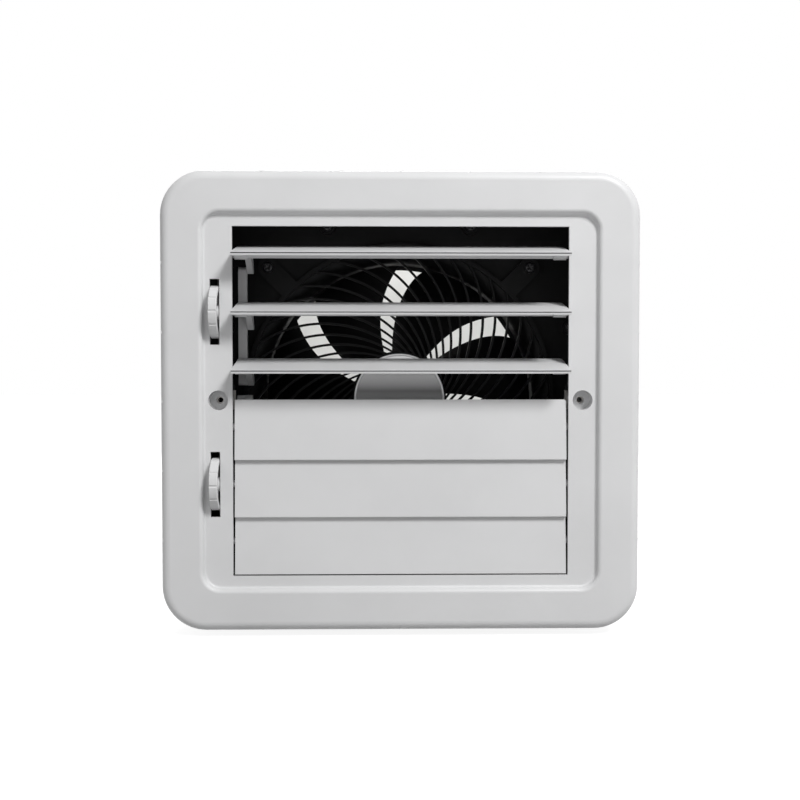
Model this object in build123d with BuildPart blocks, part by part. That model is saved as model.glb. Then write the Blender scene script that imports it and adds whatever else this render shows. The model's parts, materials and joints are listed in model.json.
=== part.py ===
"""Roof vent fan for a caravan or camper, seen from the room side.

X runs to the right, Y runs from the room out through the roof, and Z runs up
the face panel. The origin is the centre of the roof opening, on the underside
of the roof flange. Every length is in millimetres.
"""
import math
import os

from build123d import *

os.makedirs("parts", exist_ok=True)

# Roof and ceiling that the unit clamps
roof_thickness = 45.0
gasket_thickness = 3.0
roof_hole = 290.0
hole_clearance = 1.5

# Fits
face_gap = 0.3
running_gap = 0.04
pin_gap = 0.08
screw_gap = 0.05
press_gap = 0.02
slide_gap = 0.4

# Face panel
panel_w = 344.0
panel_h = 330.0
panel_corner_r = 32.0
panel_depth = 10.0
panel_wall = 2.6
panel_edge_r = 7.0
recess_w = 283.0
recess_h = 269.0
recess_corner_r = 12.0
recess_depth = 4.5
recess_lip_r = 3.2
recess_foot_r = 1.8
recess_floor = 2.5
opening_w = 241.6
opening_h = 251.0
rib_wall = 1.6
rim_rib_count = 5

# Panel screws
panel_screw_span = 262.0
panel_screw_z = 0.9
panel_screw_r = 2.7
counterbore_r = 7.1
counterbore_depth = 10.0
boss_wall = 2.0
boss_floor = 2.5

# Louvres
louvre_count = 6
louvre_pitch = 41.3
louvre_raise = 2.35
louvre_length = 239.0
louvre_wall = 2.6
louvre_face = 4.5
louvre_below = 24.0
louvre_above = 19.4
lap_gap = 0.5
louvre_open = 79.0
louvre_spine = 2.0
pivot_set_back = 6.0
pivot_r = 2.5
pivot_boss_r = 3.6
pivot_boss_length = 9.0
groove_width = 0.7
groove_depth = 0.5
corner_cut = 4.0

# Crank and tie bar
crank_back = 13.7
crank_up = 21.0
crank_r = 2.6
crank_width = 4.4
crank_pin_r = 1.8
crank_end_gap = 0.3
bar_x = -116.5
bar_width = 6.4
bar_depth = 5.0

# Thumbwheels
wheel_x = -133.3
wheel_r = 19.0
wheel_width = 6.0
wheel_grips = 12
wheel_grip_r = 1.3
wheel_grip_depth = 0.45
wheel_rim = 3.0
wheel_web = 3.2
wheel_hub_r = 5.5
slot_side_gap = 0.45
slot_height = 47.0

# Louvre rails
rail_wall = 4.0
rail_back = 5.0
rail_lug_r = 5.2
rail_end = 7.0
post_r = 3.4
post_height = 4.0
tab_wall = 2.4
tab_width = 9.0
tapper_r = 1.4
tapper_head_r = 2.7
tapper_head = 1.8
tab_offset = 9.3

# Sleeve through the roof
sleeve_wall = 2.3
sleeve_lap = 13.0
sleeve_top_gap = 2.0
seal_thickness = 2.0
sleeve_corner_r = 18.0
tab_reach = 18.5
tab_half = 11.0
nut_wall = 0.8
nut_width = 14.0
nut_length = 16.0
nut_collar_r = 4.4
nut_collar = 2.2
nut_hole_r = 1.9
side_screw_r = 1.75
side_screw_head_r = 3.6
side_screw_head = 2.2
side_screw_z = 80.0
gland_r = 5.0
gland_lip = 2.5
gland_wire_r = 2.6
block_w = 22.0
block_h = 12.0
block_d = 16.0
gland_y = -25.0
gland_z = -60.0

# Roof flange
flange_reach = 25.0
flange_corner_r = 30.0
flange_wall = 3.0
upstand_wall = 2.5
upstand_height = 34.0
ledge_reach = 15.0
ledge_wall = 3.0
flange_screw_inset = 8.0
flange_screw_r = 2.5
gasket_edge = 2.0
gasket_hole_gap = 0.5
post_inset = 10.0
cowl_post_r = 6.0

# Fan plate
plate_wall = 2.5
plate_gap = 0.6
plate_boss_r = 6.2
plate_boss = 4.0
plate_boss_across = 56.0
plate_boss_inset = 7.0
plate_screw_r = 1.9
plate_screw_head_r = 3.8
plate_screw_head = 2.4

# Fan
guard_y = 15.0
guard_wall = 4.0
guard_flare = 14.8
guard_ring = 3.5
guard_ribs = 41
guard_rib = 1.7
guard_mid_r = 70.0
guard_mid_turn = 38.0
guard_turn = 72.0
hub_plate_r = 36.6
hub_plate = 3.5
lug_r = 8.0
lug_span = 102.0
lug_screw_r = 2.2
lug_screw_head_r = 4.2
lug_screw_head = 2.8
shroud_wall = 2.2
shroud_flange = 2.5
throat_r = 106.2
mouth_length = 14.0
throat_length = 21.0
throat_lip = 3.2
throat_lip_wall = 1.6
badge_r = 35.2
badge_wall = 1.2
badge_crown = 1.6
badge_lip = 1.8

# Impeller
blade_count = 7
blade_tip_gap = 1.9
blade_gap_angle = 10.8
blade_front = 13.0
blade_depth = 23.0
blade_thickness = 2.2
blade_edge = 0.8
blade_camber = 3.6
sweep_inner_r = 46.0
sweep_linear = 0.17
sweep_square = 0.001915
blade_phase_r = 76.0
blade_phase = 21.2
cup_r = 37.0
cup_wall = 2.4
cup_front = 8.0
cup_web = 2.6
cup_boss_r = 8.0
cup_boss = 6.0
nut_across = 10.0
nut_height = 5.0

# Motor
motor_r = 30.0
motor_cap = 3.0
motor_length = 28.5
can_wall = 1.6
shaft_r = 3.0
shaft_tail = 2.0
bearing_r = 8.0
bearing_width = 5.0
commutator_r = 7.0
commutator_length = 4.0
stack_r = 20.0
stack_length = 8.0
stack_slots = 10
stack_slot_w = 2.4
stack_slot_depth = 7.0
winding_r = 17.0
winding_bulge = 1.6
magnet_wall = 6.5
magnet_length = 12.0
magnet_arc = 124.0
brush_w = 4.0
brush_h = 3.0
motor_screw_r = 1.5
motor_screw_pcd = 44.0
motor_screw_head_r = 2.8
motor_screw_head = 1.2

# Rain cowl
cowl_size = 310.0
cowl_corner_r = 32.0
cowl_wall = 2.2
cowl_skirt_y = 37.0
cowl_top_y = 90.0
cowl_taper = 6.0
cowl_shoulder_r = 14.0
cowl_well_r = 7.0
cowl_well_floor = 2.6
cowl_screw_r = 2.0
cowl_screw_head_r = 3.9
cowl_screw_head = 2.6
cowl_screw_grip = 12.0
cowl_rib_count = 5
cowl_rib_w = 5.0
cowl_rib_rise = 1.4

# Places that follow from the sizes above
ceiling_y = -gasket_thickness - roof_thickness
front_y = ceiling_y - panel_depth
recess_y = front_y + recess_depth
panel_back_y = recess_y + recess_floor
pivot_y = recess_y + pivot_set_back
bank_size = louvre_count // 2
rail_x = opening_w / 2 + 0.8
louvre_lean = math.degrees(math.asin((louvre_wall + lap_gap) / louvre_pitch))
bank_opening = [louvre_open, louvre_lean]
flange_size = roof_hole + 2 * flange_reach
upstand_out = roof_hole - 2 * hole_clearance
upstand_in = upstand_out - 2 * upstand_wall
upstand_corner_r = sleeve_corner_r + slide_gap
sleeve_out = upstand_in - 2 * slide_gap
sleeve_in = sleeve_out - 2 * sleeve_wall
boss_back_y = recess_y + counterbore_depth + boss_floor
side_screw_y = -sleeve_top_gap - sleeve_lap / 2
guard_r = throat_r + guard_flare
shroud_y = guard_y + guard_wall
plate_y = shroud_y + shroud_flange
ledge_y = plate_y + plate_wall
hub_back_y = guard_y + hub_plate
cap_back_y = hub_back_y + motor_cap
motor_end_y = cap_back_y + motor_length
cup_front_y = guard_y + cup_front
cup_back_y = motor_end_y + 3 + cup_web
blade_y = guard_y + blade_front
nut_y = cup_back_y + cup_boss
blade_tip_r = throat_r - blade_tip_gap
front_bearing_y = cap_back_y
rear_bearing_y = motor_end_y - can_wall - bearing_width
commutator_y = front_bearing_y + bearing_width + 0.5
stack_y = commutator_y + commutator_length + winding_bulge + 0.2
magnet_y = stack_y + stack_length / 2 - magnet_length / 2
cowl_post_xz = upstand_in / 2 - post_inset
well_floor_y = cowl_top_y - cowl_wall - 5.0


def room_plane(y):
    """A plane at depth y that faces the room, with X right and Z up."""
    return Plane.XZ.offset(-y)


def hinge_plane(z, opening):
    """The cross-section plane of a louvre hinged at height z and leaning by an angle."""
    turn = math.radians(-opening)
    return Plane(
        origin=(0, pivot_y, z),
        x_dir=(0, math.cos(turn), math.sin(turn)),
        z_dir=(1, 0, 0),
    )


def louvre_z(index):
    """Height of the pivot of louvre 0 to 5, counted from the top."""
    return louvre_raise + ((louvre_count - 1) / 2 - index) * louvre_pitch


def polar(radius, degrees):
    """A point on a circle, as the room sees it."""
    turn = math.radians(degrees)
    return (radius * math.cos(turn), radius * math.sin(turn))


def four_corners(across, up):
    """The four corner places of a rectangle."""
    return [(x * across, z * up) for x in (-1, 1) for z in (-1, 1)]


def save(piece, label):
    """Name a finished piece and write it."""
    piece.part.label = label
    export_step(piece.part, f"parts/{label}.step")


middle_louvres = [louvre_z(bank_size // 2), louvre_z(bank_size + bank_size // 2)]
screw_places = [(x * panel_screw_span / 2, panel_screw_z) for x in (-1, 1)]
tab_heights = [
    louvre_z(0),
    louvre_z(bank_size - 1),
    louvre_z(bank_size),
    louvre_z(louvre_count - 1),
]
post_places = [
    (side * (rail_x + rail_wall + tab_offset / 2), z)
    for side in (-1, 1)
    for z in tab_heights
]


def make_face_panel():
    """Rounded bezel with a recessed field, louvre opening, wheel slots and bosses."""
    back_w = recess_w + 2 * panel_wall
    back_h = sleeve_out
    with BuildPart() as face_panel:
        with BuildSketch(room_plane(ceiling_y)):
            RectangleRounded(panel_w, panel_h, panel_corner_r)
        extrude(amount=panel_depth)
        front_edges = face_panel.faces().sort_by(Axis.Y)[0].outer_wire().edges()
        fillet(front_edges, panel_edge_r)
        with BuildSketch(room_plane(front_y)):
            RectangleRounded(recess_w, recess_h, recess_corner_r)
        extrude(amount=-recess_depth, mode=Mode.SUBTRACT)
        lip = face_panel.edges().filter_by_position(Axis.Y, front_y - 0.01, front_y + 0.01)
        lip = lip.filter_by(lambda e: abs(e.center().X) < recess_w / 2 + 1
                            and abs(e.center().Z) < recess_h / 2 + 1)
        fillet(lip, recess_lip_r)
        foot = face_panel.edges().filter_by_position(Axis.Y, recess_y - 0.01, recess_y + 0.01)
        fillet(foot, recess_foot_r)
        with BuildSketch(room_plane(ceiling_y)):
            RectangleRounded(panel_w - 2 * panel_wall, panel_h - 2 * panel_wall,
                             panel_corner_r - panel_wall)
            RectangleRounded(back_w, back_h, sleeve_corner_r, mode=Mode.SUBTRACT)
        extrude(amount=panel_depth - panel_wall, mode=Mode.SUBTRACT)
        with BuildSketch(room_plane(ceiling_y)):
            RectangleRounded(sleeve_in, sleeve_in, sleeve_corner_r - sleeve_wall)
        extrude(amount=ceiling_y - panel_back_y, mode=Mode.SUBTRACT)
        with BuildSketch(room_plane(ceiling_y)):
            RectangleRounded(back_w, back_h, sleeve_corner_r)
        extrude(amount=seal_thickness, mode=Mode.SUBTRACT)
        extrude(rim_ribs(back_w, back_h), amount=seal_thickness + panel_wall - panel_depth)
        with BuildSketch(room_plane(recess_y)):
            Rectangle(opening_w, opening_h)
            with Locations([(wheel_x, z) for z in middle_louvres]):
                Rectangle(wheel_width + 2 * slot_side_gap, slot_height)
        extrude(amount=-recess_floor, mode=Mode.SUBTRACT)
        with BuildSketch(room_plane(panel_back_y)):
            with Locations(*screw_places):
                Circle(counterbore_r + boss_wall)
        extrude(amount=panel_back_y - boss_back_y)
        with BuildSketch(room_plane(recess_y)):
            with Locations(*screw_places):
                Circle(counterbore_r)
        extrude(amount=-counterbore_depth, mode=Mode.SUBTRACT)
        with BuildSketch(room_plane(recess_y)):
            with Locations(*screw_places):
                Circle(panel_screw_r)
        extrude(amount=recess_y - boss_back_y, mode=Mode.SUBTRACT)
        with BuildSketch(room_plane(panel_back_y)):
            with Locations(*post_places):
                Circle(post_r)
        extrude(amount=-post_height)
        with BuildSketch(room_plane(panel_back_y + post_height)):
            with Locations(*post_places):
                Circle(tapper_r + screw_gap)
        extrude(amount=post_height + recess_floor / 2, mode=Mode.SUBTRACT)
    save(face_panel, "face_panel")


def rim_ribs(back_w, back_h):
    """Outline of the stiffening ribs between the bezel's rim and its inner ring."""
    reach_x = (panel_w - back_w) / 2 - panel_wall / 2
    reach_z = (panel_h - back_h) / 2 - panel_wall / 2
    with BuildSketch(room_plane(front_y + panel_wall)) as ribs:
        for side in (-1, 1):
            for place in range(rim_rib_count):
                along = (place - (rim_rib_count - 1) / 2) * louvre_pitch * 1.2
                with Locations((side * (back_w / 2 + reach_x / 2), along)):
                    Rectangle(reach_x + 1, rib_wall)
                with Locations((along, side * (back_h / 2 + reach_z / 2))):
                    Rectangle(rib_wall, reach_z + 1)
    return ribs.sketch


def make_louvre(number):
    """One louvre blade with its end pivots and its crank."""
    index = number - 1
    plane = hinge_plane(louvre_z(index), bank_opening[index // bank_size])
    carries_wheel = index % bank_size == bank_size // 2
    half = louvre_length / 2
    with BuildPart() as louvre:
        with BuildSketch(plane.offset(-half)):
            with BuildLine():
                Polyline(
                    (-louvre_face + groove_depth, -louvre_below),
                    (-louvre_face + louvre_wall, -louvre_below),
                    (-louvre_face + louvre_wall, louvre_above),
                    (-louvre_face, louvre_above),
                    (-louvre_face, -louvre_below + groove_width),
                    (-louvre_face + groove_depth, -louvre_below + groove_width),
                    close=True,
                )
            make_face()
            with Locations(((louvre_wall - louvre_face + pivot_r) / 2, 0)):
                Rectangle(pivot_r - louvre_wall + louvre_face, louvre_spine)
        extrude(amount=louvre_length)
        extrude(end_corners(plane, half), amount=2 * louvre_face, both=True,
                mode=Mode.SUBTRACT)
        for side in (-1, 1):
            with BuildSketch(plane.offset(side * half)):
                Circle(pivot_boss_r)
                with Locations((-pivot_boss_r / 2 - louvre_wall / 2, 0)):
                    Rectangle(pivot_boss_r - louvre_wall / 2, 2 * pivot_boss_r)
            extrude(amount=-side * pivot_boss_length)
            with BuildSketch(plane.offset(side * half)):
                Circle(pivot_r)
            extrude(amount=side * (rail_x + rail_wall - half))
        if carries_wheel:
            with BuildSketch(plane.offset(-rail_x - rail_wall)):
                Circle(pivot_r)
            extrude(amount=wheel_x - wheel_width / 2 + rail_x + rail_wall)
        crank_side = plane.offset(bar_x + bar_width / 2 + crank_end_gap)
        extrude(crank_arm(crank_side), amount=crank_width)
        extrude(crank_pin(crank_side), amount=-bar_width - crank_end_gap)
    save(louvre, f"louvre_{number}")


def end_corners(plane, half):
    """The upper corners of the blade that are clipped clear of the rails."""
    face = Plane(origin=plane.origin, x_dir=(1, 0, 0), z_dir=-plane.x_dir)
    with BuildSketch(face) as corners:
        for side in (-1, 1):
            with BuildLine():
                Polyline(
                    (side * half, louvre_above),
                    (side * (half - corner_cut), louvre_above),
                    (side * half, louvre_above - corner_cut),
                    close=True,
                )
            make_face()
    return corners.sketch


def crank_arm(plane):
    """The arm that reaches back to the tie bar."""
    back = louvre_wall - louvre_face
    with BuildSketch(plane) as arm:
        with BuildLine():
            Polyline(
                (back - louvre_wall / 2, louvre_above - 0.5),
                (back - louvre_wall / 2, 3.0),
                (back + 2.5, 3.0),
                (crank_back + crank_r * 0.7, crank_up - crank_r * 0.7),
                (crank_back, crank_up + crank_r),
                close=True,
            )
        make_face()
        with Locations((crank_back, crank_up)):
            Circle(crank_r)
    return arm.sketch


def crank_pin(plane):
    """The pin at the end of the crank arm."""
    with BuildSketch(plane) as pin:
        with Locations((crank_back, crank_up)):
            Circle(crank_pin_r)
    return pin.sketch


def make_tie_bar(bank, label):
    """The bar that links the three cranks of a bank."""
    opening = bank_opening[bank]
    first = bank * bank_size
    pins = []
    for index in range(first, first + bank_size):
        pin = hinge_plane(louvre_z(index), opening).from_local_coords((crank_back, crank_up, 0))
        pins.append((pin.Y, pin.Z))
    with BuildPart() as tie_bar:
        with BuildSketch(Plane.YZ.offset(bar_x - bar_width / 2)):
            with Locations((pins[0][0], (pins[0][1] + pins[-1][1]) / 2)):
                SlotCenterToCenter(pins[0][1] - pins[-1][1], bar_depth, rotation=90)
            with Locations(*pins):
                Circle(crank_pin_r + pin_gap, mode=Mode.SUBTRACT)
        extrude(amount=bar_width)
    save(tie_bar, label)


def make_thumbwheel(z, label):
    """A grooved thumbwheel on the end of the middle louvre's pivot."""
    with BuildPart() as thumbwheel:
        with BuildSketch(Plane.YZ.offset(wheel_x - wheel_width / 2)):
            with Locations((pivot_y, z)):
                Circle(wheel_r)
                with PolarLocations(wheel_r + wheel_grip_r - wheel_grip_depth, wheel_grips):
                    Circle(wheel_grip_r, mode=Mode.SUBTRACT)
        extrude(amount=wheel_width)
        rims = thumbwheel.edges().filter_by(GeomType.CIRCLE)
        rims = rims.filter_by(lambda e: abs(e.radius - wheel_r) < 0.01)
        chamfer(rims, 0.35)
        for side in (-1, 1):
            with BuildSketch(Plane.YZ.offset(wheel_x + side * wheel_width / 2)):
                with Locations((pivot_y, z)):
                    Circle(wheel_r - wheel_rim)
                    Circle(wheel_hub_r, mode=Mode.SUBTRACT)
            extrude(amount=-side * (wheel_width - wheel_web) / 2, mode=Mode.SUBTRACT)
        with BuildSketch(Plane.YZ.offset(wheel_x - wheel_width / 2)):
            with Locations((pivot_y, z)):
                Circle(pivot_r + press_gap)
        extrude(amount=wheel_width, mode=Mode.SUBTRACT)
    save(thumbwheel, label)


def make_rail(bank, side, label):
    """A strip behind the panel with one bearing lug for each louvre of a bank."""
    inner_x = side * rail_x
    front = panel_back_y + face_gap
    pivots = [louvre_z(bank * bank_size + index) for index in range(bank_size)]
    low = pivots[-1] - rail_end
    high = pivots[0] + rail_end
    with BuildPart() as rail:
        with BuildSketch(Plane.YZ.offset(inner_x)):
            with Locations((front + rail_back / 2, (low + high) / 2)):
                Rectangle(rail_back, high - low)
            with Locations(*[(pivot_y, z) for z in pivots]):
                Circle(rail_lug_r)
        extrude(amount=side * rail_wall)
        with BuildSketch(room_plane(front)):
            with Locations((side * rail_x, (low + high) / 2)):
                Rectangle(4 * rail_lug_r, high - low + 4 * rail_lug_r)
        extrude(amount=2 * rail_lug_r, mode=Mode.SUBTRACT)
        with BuildSketch(room_plane(panel_back_y + post_height)):
            for z in (pivots[0], pivots[-1]):
                with Locations((side * (rail_x + rail_wall / 2 + tab_offset / 2), z)):
                    Rectangle(tab_offset + rail_wall / 2, tab_width)
                with Locations((side * (rail_x + rail_wall + tab_offset / 2), z)):
                    Circle(tapper_r + screw_gap, mode=Mode.SUBTRACT)
        extrude(amount=-tab_wall)
        with BuildSketch(Plane.YZ.offset(inner_x - side)):
            with Locations(*[(pivot_y, z) for z in pivots]):
                Circle(pivot_r + running_gap)
        extrude(amount=side * (rail_wall + 2), mode=Mode.SUBTRACT)
    save(rail, label)


def make_screws(label, places, under_head_y, head_r, head, shank_r, length, inward=1):
    """A set of pan-head screws; inward is 1 where they point outdoors."""
    with BuildPart() as screws:
        with BuildSketch(room_plane(under_head_y)):
            with Locations(*places):
                Circle(head_r)
        extrude(amount=inward * head)
        tops = screws.faces().filter_by(Axis.Y).sort_by(Axis.Y)
        count = len(places)
        rims = tops[:count] if inward > 0 else tops[-count:]
        fillet(rims.edges(), head * 0.45)
        with BuildSketch(room_plane(under_head_y)):
            with Locations(*places):
                Circle(shank_r)
        extrude(amount=-inward * length)
    save(screws, label)


def make_sleeve():
    """The square duct through the roof, with the panel's two fixing tabs."""
    tab_y = boss_back_y + nut_wall + 0.1
    with BuildPart() as sleeve:
        with BuildSketch(room_plane(ceiling_y)):
            RectangleRounded(sleeve_out, sleeve_out, sleeve_corner_r)
            RectangleRounded(sleeve_in, sleeve_in, sleeve_corner_r - sleeve_wall,
                             mode=Mode.SUBTRACT)
        extrude(amount=ceiling_y + sleeve_top_gap)
        with BuildSketch(room_plane(ceiling_y)):
            with Locations(*screw_places):
                Circle(counterbore_r + boss_wall + face_gap)
        extrude(amount=ceiling_y - tab_y, mode=Mode.SUBTRACT)
        for side in (-1, 1):
            with BuildSketch(room_plane(tab_y)):
                with Locations((side * (sleeve_in / 2 + sleeve_wall / 2 - tab_reach / 2),
                                panel_screw_z)):
                    Rectangle(tab_reach, 2 * tab_half)
                with Locations((side * panel_screw_span / 2, panel_screw_z)):
                    Circle(panel_screw_r, mode=Mode.SUBTRACT)
            extrude(amount=-sleeve_wall)
        with BuildSketch(Plane.YZ.offset(-sleeve_out / 2 - 1)):
            with Locations(*[(side_screw_y, z) for z in (-side_screw_z, side_screw_z)]):
                Circle(side_screw_r + screw_gap)
        extrude(amount=sleeve_out + 2, mode=Mode.SUBTRACT)
        with BuildSketch(Plane.YZ.offset(sleeve_in / 2 - 1)):
            with Locations((gland_y, gland_z)):
                Circle(gland_r)
        extrude(amount=sleeve_wall + 2, mode=Mode.SUBTRACT)
    save(sleeve, "duct_sleeve")


def make_sleeve_fittings():
    """Foam seal, clip nuts, side screws, lead gland and terminal block."""
    with BuildPart() as sleeve_seal:
        with BuildSketch(room_plane(ceiling_y)):
            RectangleRounded(sleeve_out, sleeve_out, sleeve_corner_r)
            RectangleRounded(sleeve_in, sleeve_in, sleeve_corner_r - sleeve_wall,
                             mode=Mode.SUBTRACT)
            with Locations(*screw_places):
                Circle(counterbore_r + boss_wall + face_gap, mode=Mode.SUBTRACT)
        extrude(amount=seal_thickness)
    save(sleeve_seal, "sleeve_seal")

    leaf_y = boss_back_y + 0.1
    inner = sleeve_in / 2 + sleeve_wall / 2 - tab_reach
    with BuildPart() as clip_nuts:
        for side in (-1, 1):
            with BuildSketch(Plane.XY.offset(panel_screw_z - nut_width / 2)):
                with BuildLine():
                    bend = side * (inner - nut_wall - press_gap)
                    far = side * (inner + nut_length)
                    near = side * (inner - press_gap)
                    Polyline(
                        (far, leaf_y),
                        (bend, leaf_y),
                        (bend, leaf_y + sleeve_wall + 2 * nut_wall),
                        (far, leaf_y + sleeve_wall + 2 * nut_wall),
                        (far, leaf_y + sleeve_wall + nut_wall),
                        (near, leaf_y + sleeve_wall + nut_wall),
                        (near, leaf_y + nut_wall),
                        (far, leaf_y + nut_wall),
                        close=True,
                    )
                make_face()
            extrude(amount=nut_width)
        with BuildSketch(room_plane(leaf_y + sleeve_wall + 2 * nut_wall)):
            with Locations(*screw_places):
                Circle(nut_collar_r)
        extrude(amount=-nut_collar)
        with BuildSketch(room_plane(leaf_y)):
            with Locations(*screw_places):
                Circle(nut_hole_r)
        extrude(amount=-(sleeve_wall + 2 * nut_wall + nut_collar), mode=Mode.SUBTRACT)
    save(clip_nuts, "clip_nuts")

    with BuildPart() as side_screws:
        for side in (-1, 1):
            heads = Plane.YZ.offset(side * sleeve_in / 2)
            with BuildSketch(heads):
                with Locations(*[(side_screw_y, z) for z in (-side_screw_z, side_screw_z)]):
                    Circle(side_screw_head_r)
            extrude(amount=-side * side_screw_head)
            with BuildSketch(heads):
                with Locations(*[(side_screw_y, z) for z in (-side_screw_z, side_screw_z)]):
                    Circle(side_screw_r)
            extrude(amount=side * (upstand_out / 2 - sleeve_in / 2 + 0.8))
    save(side_screws, "sleeve_screws")

    with BuildPart() as lead_gland:
        with BuildSketch(Plane.YZ.offset(sleeve_in / 2 - 1.5)):
            with Locations((gland_y, gland_z)):
                Circle(gland_r + gland_lip)
        extrude(amount=1.5)
        with BuildSketch(Plane.YZ.offset(sleeve_in / 2)):
            with Locations((gland_y, gland_z)):
                Circle(gland_r - press_gap)
        extrude(amount=sleeve_wall + 0.5)
        with BuildSketch(Plane.YZ.offset(sleeve_in / 2 - 2)):
            with Locations((gland_y, gland_z)):
                Circle(gland_wire_r)
        extrude(amount=sleeve_wall + 4, mode=Mode.SUBTRACT)
    save(lead_gland, "lead_gland")

    with BuildPart() as terminal_block:
        with BuildSketch(Plane.YZ.offset(sleeve_in / 2)):
            with Locations((gland_y, gland_z + gland_r + block_w)):
                Rectangle(block_d, block_w)
        extrude(amount=-block_h)
        top = terminal_block.faces().sort_by(Axis.X)[0]
        chamfer(top.edges(), 1.0)
        with BuildSketch(Plane.YZ.offset(sleeve_in / 2 - block_h)):
            with Locations(*[(gland_y, gland_z + gland_r + block_w + s * block_w / 4)
                             for s in (-1, 1)]):
                Circle(2.2)
        extrude(amount=block_h * 0.6, mode=Mode.SUBTRACT)
    save(terminal_block, "terminal_block")


def flange_screw_places():
    """Eight places round the flange: the corners and the middles of the sides."""
    reach = flange_size / 2 - flange_screw_inset
    corner = reach - 6.0
    return four_corners(corner, corner) + [(reach, 0), (-reach, 0), (0, reach), (0, -reach)]


def plate_screw_places():
    """Two places along each side of the fan plate."""
    reach = upstand_in / 2 - plate_boss_inset
    return four_corners(plate_boss_across, reach) + four_corners(reach, plate_boss_across)


def make_roof_flange():
    """Roof flange with its upstand, inner ledge and four cowl posts."""
    with BuildPart() as roof_flange:
        with BuildSketch(room_plane(0)):
            RectangleRounded(flange_size, flange_size, flange_corner_r)
            with Locations(*flange_screw_places()):
                Circle(flange_screw_r, mode=Mode.SUBTRACT)
        extrude(amount=-flange_wall)
        rim = roof_flange.faces().sort_by(Axis.Y)[-1].outer_wire().edges()
        fillet(rim, flange_wall * 0.6)
        with BuildSketch(room_plane(-sleeve_lap - sleeve_top_gap)):
            RectangleRounded(upstand_out, upstand_out, upstand_corner_r + upstand_wall)
        extrude(amount=-(sleeve_lap + sleeve_top_gap + upstand_height))
        with BuildSketch(room_plane(-sleeve_lap - sleeve_top_gap)):
            RectangleRounded(upstand_in, upstand_in, upstand_corner_r)
        extrude(amount=-(sleeve_lap + sleeve_top_gap + upstand_height), mode=Mode.SUBTRACT)
        hole = upstand_in - 2 * ledge_reach
        with BuildSketch(room_plane(ledge_y)):
            RectangleRounded(upstand_in + upstand_wall, upstand_in + upstand_wall,
                             upstand_corner_r)
            RectangleRounded(hole, hole, upstand_corner_r + 8, mode=Mode.SUBTRACT)
            with Locations(*plate_screw_places()):
                Circle(plate_screw_r + screw_gap, mode=Mode.SUBTRACT)
        extrude(amount=-ledge_wall)
        with BuildSketch(room_plane(ledge_y)):
            with Locations(*four_corners(cowl_post_xz, cowl_post_xz)):
                Circle(cowl_post_r)
        extrude(amount=-(well_floor_y - ledge_y))
        with BuildSketch(room_plane(well_floor_y)):
            with Locations(*four_corners(cowl_post_xz, cowl_post_xz)):
                Circle(cowl_screw_r + screw_gap)
        extrude(amount=cowl_screw_grip + 1, mode=Mode.SUBTRACT)
        with BuildSketch(Plane.YZ.offset(-upstand_out / 2 - 1)):
            with Locations(*[(side_screw_y, z) for z in (-side_screw_z, side_screw_z)]):
                Circle(side_screw_r + screw_gap)
        extrude(amount=upstand_out + 2, mode=Mode.SUBTRACT)
    save(roof_flange, "roof_flange")

    with BuildPart() as flange_gasket:
        with BuildSketch(room_plane(0)):
            outer = flange_size - 2 * gasket_edge
            RectangleRounded(outer, outer, flange_corner_r - gasket_edge)
            inner = roof_hole
            RectangleRounded(inner, inner, upstand_corner_r + upstand_wall + hole_clearance,
                             mode=Mode.SUBTRACT)
            with Locations(*flange_screw_places()):
                Circle(flange_screw_r + gasket_hole_gap, mode=Mode.SUBTRACT)
        extrude(amount=gasket_thickness)
    save(flange_gasket, "flange_gasket")


def make_fan_plate():
    """The black plate that carries the fan inside the upstand."""
    size = upstand_in - 2 * plate_gap
    with BuildPart() as fan_plate:
        with BuildSketch(room_plane(plate_y)):
            RectangleRounded(size, size, upstand_corner_r - plate_gap)
        extrude(amount=-plate_wall)
        with BuildSketch(room_plane(plate_y)):
            with Locations(*plate_screw_places()):
                Circle(plate_boss_r)
        extrude(amount=plate_boss)
        with BuildSketch(room_plane(plate_y - plate_boss)):
            with Locations(*plate_screw_places()):
                Circle(plate_screw_r + screw_gap)
        extrude(amount=-plate_boss - plate_wall, mode=Mode.SUBTRACT)
        with BuildSketch(room_plane(plate_y)):
            Circle(guard_r + 1.0)
            with Locations(*four_corners(lug_span, lug_span)):
                Circle(lug_screw_r + screw_gap)
        extrude(amount=-plate_wall, mode=Mode.SUBTRACT)
    save(fan_plate, "fan_plate")


def lug_outline(radius, hole_r):
    """A ring outline with four screw lugs on the diagonals."""
    Circle(radius)
    reach = lug_span * math.sqrt(2) - radius
    with PolarLocations(radius + reach / 2 - 4, 4, start_angle=45):
        Rectangle(reach + 8, 2 * lug_r)
    with Locations(*four_corners(lug_span, lug_span)):
        Circle(lug_r)
        Circle(hole_r, mode=Mode.SUBTRACT)


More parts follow.
